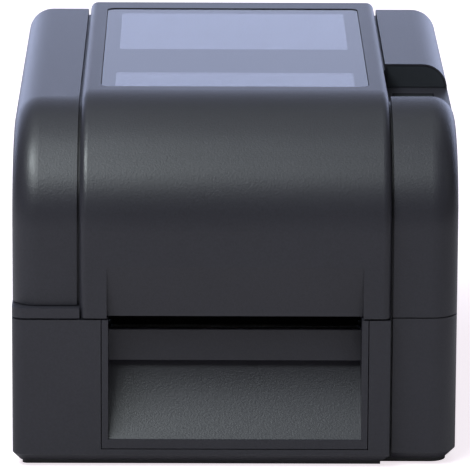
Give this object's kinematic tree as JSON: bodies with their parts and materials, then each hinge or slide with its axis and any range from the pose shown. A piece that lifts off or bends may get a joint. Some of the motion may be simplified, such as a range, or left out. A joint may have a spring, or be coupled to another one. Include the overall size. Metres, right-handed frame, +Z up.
{
  "type": "label printer",
  "caption": "Desktop label printer with a hinged lid and window, roll bay, thermal print head over a geared platen, ribbon hubs, edge guides and a front label recess.",
  "frame": {"origin": "middle of the footprint on the desk", "axes": "+X to the printer's left-to-right as seen from the front, +Y to the rear, +Z up"},
  "size_m": [0.204, 0.28, 0.1642],
  "materials": {
    "case_plastic": "fine textured charcoal",
    "inner_plastic": "black moulding",
    "button_plastic": "smooth dark grey",
    "gear_plastic": "natural white acetal",
    "panel_gloss": "gloss dark window",
    "window": "clear plastic pane with a dark border",
    "platen_rubber": "fine ground rubber",
    "steel": "bright steel",
    "heat_sink": "extruded aluminium",
    "head_strip": "glazed brown strip",
    "motor_metal": "black coated steel",
    "board": "green circuit board",
    "socket_black": "black socket body",
    "socket_metal": "tinned shell"
  },
  "bodies": {
    "base": {"lower_case": "case_plastic", "bottom_plate": "inner_plastic", "rubber_feet": "platen_rubber", "case_screws": "steel", "front_panel": "case_plastic", "tear_bar": "steel", "media_chassis": "inner_plastic", "hinge_rod": "steel", "platen_bushings": "gear_plastic", "drive_motor": "motor_metal", "motor_bracket": "steel", "media_sensor": "socket_black", "main_board": "board", "power_switch": "socket_black", "dc_jack": "socket_black", "usb_port": "socket_metal", "network_port": "socket_metal", "serial_port": "socket_metal", "interface_plate": "steel", "tower_cover": "case_plastic", "status_window": "panel_gloss", "button_board": "board"},
    "platen": {"platen_roller": "platen_rubber", "platen_shaft": "steel", "platen_gear": "gear_plastic"},
    "reduction": {"reduction_gear": "gear_plastic"},
    "pinion": {"motor_pinion": "gear_plastic", "motor_shaft": "steel"},
    "latch": {"latch_pawls": "steel", "latch_shaft": "steel", "release_lever": "inner_plastic"},
    "edge_left": {"edge_guide_left": "inner_plastic", "edge_rack_left": "gear_plastic"},
    "edge_right": {"edge_guide_right": "inner_plastic", "edge_rack_right": "gear_plastic"},
    "edge_wheel": {"edge_pinion": "gear_plastic"},
    "arm_left": {"roll_arm_left": "inner_plastic", "roll_rack_left": "gear_plastic"},
    "arm_right": {"roll_arm_right": "inner_plastic", "roll_rack_right": "gear_plastic"},
    "arm_wheel": {"roll_pinion": "gear_plastic"},
    "hub_left": {"roll_hub_left": "inner_plastic"},
    "hub_right": {"roll_hub_right": "inner_plastic"},
    "rocker": {"power_rocker": "button_plastic"},
    "button": {"feed_button": "button_plastic"},
    "lid": {"lid_cover": "case_plastic", "shoulder_cover": "case_plastic", "window_pane": "window", "lid_frame": "inner_plastic"},
    "head": {"print_head": "head_strip", "head_sink": "heat_sink", "head_bracket": "steel", "head_springs": "steel"},
    "ribbon_wheel": {"ribbon_gear": "gear_plastic"},
    "rewind_right": {"rewind_gear": "gear_plastic", "rewind_hub_right": "inner_plastic"},
    "rewind_left": {"rewind_hub_left": "inner_plastic"},
    "supply_left": {"supply_hub_left": "inner_plastic"},
    "supply_right": {"supply_hub_right": "inner_plastic"}
  },
  "joints": [
    {"name": "lid_hinge", "type": "hinge", "parent": "base", "child": "lid", "pos_m": [0, 0.1259, 0.081], "axis": [-1, 0, 0], "range_deg": [0, 85]},
    {"name": "head_float", "type": "slide", "parent": "lid", "child": "head", "axis": [0, 0, 1], "range_m": [0, 0.0015], "stiffness_N_per_m": 2000, "springref_m": -0.004, "deforming": ["head_springs"]},
    {"name": "platen_spin", "type": "hinge", "parent": "base", "child": "platen", "pos_m": [0, -0.104, 0.058], "axis": [1, 0, 0], "continuous": true},
    {"name": "reduction_spin", "type": "hinge", "parent": "base", "child": "reduction", "pos_m": [0, -0.08868, 0.04514], "axis": [1, 0, 0], "continuous": true},
    {"name": "motor_spin", "type": "hinge", "parent": "base", "child": "pinion", "pos_m": [0, -0.07396, 0.03664], "axis": [1, 0, 0], "continuous": true},
    {"name": "ribbon_gear_spin", "type": "hinge", "parent": "lid", "child": "ribbon_wheel", "pos_m": [0, -0.09949, 0.0836], "axis": [1, 0, 0], "continuous": true},
    {"name": "rewind_spin", "type": "hinge", "parent": "lid", "child": "rewind_right", "pos_m": [0, -0.09663, 0.12451], "axis": [1, 0, 0], "continuous": true},
    {"name": "rewind_left_spin", "type": "hinge", "parent": "lid", "child": "rewind_left", "pos_m": [0, -0.09663, 0.12451], "axis": [1, 0, 0], "continuous": true},
    {"name": "supply_left_spin", "type": "hinge", "parent": "lid", "child": "supply_left", "pos_m": [0, -0.045, 0.118], "axis": [1, 0, 0], "continuous": true},
    {"name": "supply_right_spin", "type": "hinge", "parent": "lid", "child": "supply_right", "pos_m": [0, -0.045, 0.118], "axis": [1, 0, 0], "continuous": true},
    {"name": "latch_turn", "type": "hinge", "parent": "base", "child": "latch", "pos_m": [0, -0.062, 0.05], "axis": [-1, 0, 0], "range_deg": [0, 12], "stiffness_Nm_per_rad": 0.4, "springref_deg": -8.59},
    {"name": "edge_left_slide", "type": "slide", "parent": "base", "child": "edge_left", "axis": [1, 0, 0], "range_m": [0, 0.046]},
    {"name": "edge_right_slide", "type": "slide", "parent": "base", "child": "edge_right", "axis": [-1, 0, 0], "range_m": [0, 0.046]},
    {"name": "edge_pinion_spin", "type": "hinge", "parent": "base", "child": "edge_wheel", "pos_m": [0, -0.055, 0.0565], "axis": [0, 0, 1], "range_deg": [-445, 445]},
    {"name": "arm_left_slide", "type": "slide", "parent": "base", "child": "arm_left", "axis": [1, 0, 0], "range_m": [0, 0.046]},
    {"name": "arm_right_slide", "type": "slide", "parent": "base", "child": "arm_right", "axis": [-1, 0, 0], "range_m": [0, 0.046]},
    {"name": "arm_pinion_spin", "type": "hinge", "parent": "base", "child": "arm_wheel", "pos_m": [0, 0.048, 0.0065], "axis": [0, 0, 1], "range_deg": [-445, 445]},
    {"name": "hub_left_spin", "type": "hinge", "parent": "arm_left", "child": "hub_left", "pos_m": [0, 0.048, 0.078], "axis": [1, 0, 0], "continuous": true},
    {"name": "hub_right_spin", "type": "hinge", "parent": "arm_right", "child": "hub_right", "pos_m": [0, 0.048, 0.078], "axis": [1, 0, 0], "continuous": true},
    {"name": "power_rock", "type": "hinge", "parent": "base", "child": "rocker", "pos_m": [0, 0.1364, 0.0166], "axis": [-1, 0, 0], "range_deg": [0, 16]},
    {"name": "feed_press", "type": "slide", "parent": "base", "child": "button", "axis": [0, 0, -1], "range_m": [0, 0.001], "stiffness_N_per_m": 900, "springref_m": -0.001}
  ],
  "couplings": [
    {"joint": "reduction_spin", "follows": "platen_spin", "ratio": -0.81818},
    {"joint": "motor_spin", "follows": "platen_spin", "ratio": 1.5},
    {"joint": "ribbon_gear_spin", "follows": "platen_spin", "ratio": -0.52941},
    {"joint": "rewind_spin", "follows": "platen_spin", "ratio": 0.375},
    {"joint": "edge_right_slide", "follows": "edge_left_slide", "ratio": 1},
    {"joint": "edge_pinion_spin", "follows": "edge_left_slide", "rad_per_m": -166.67},
    {"joint": "arm_right_slide", "follows": "arm_left_slide", "ratio": 1},
    {"joint": "arm_pinion_spin", "follows": "arm_left_slide", "rad_per_m": -166.67}
  ]
}
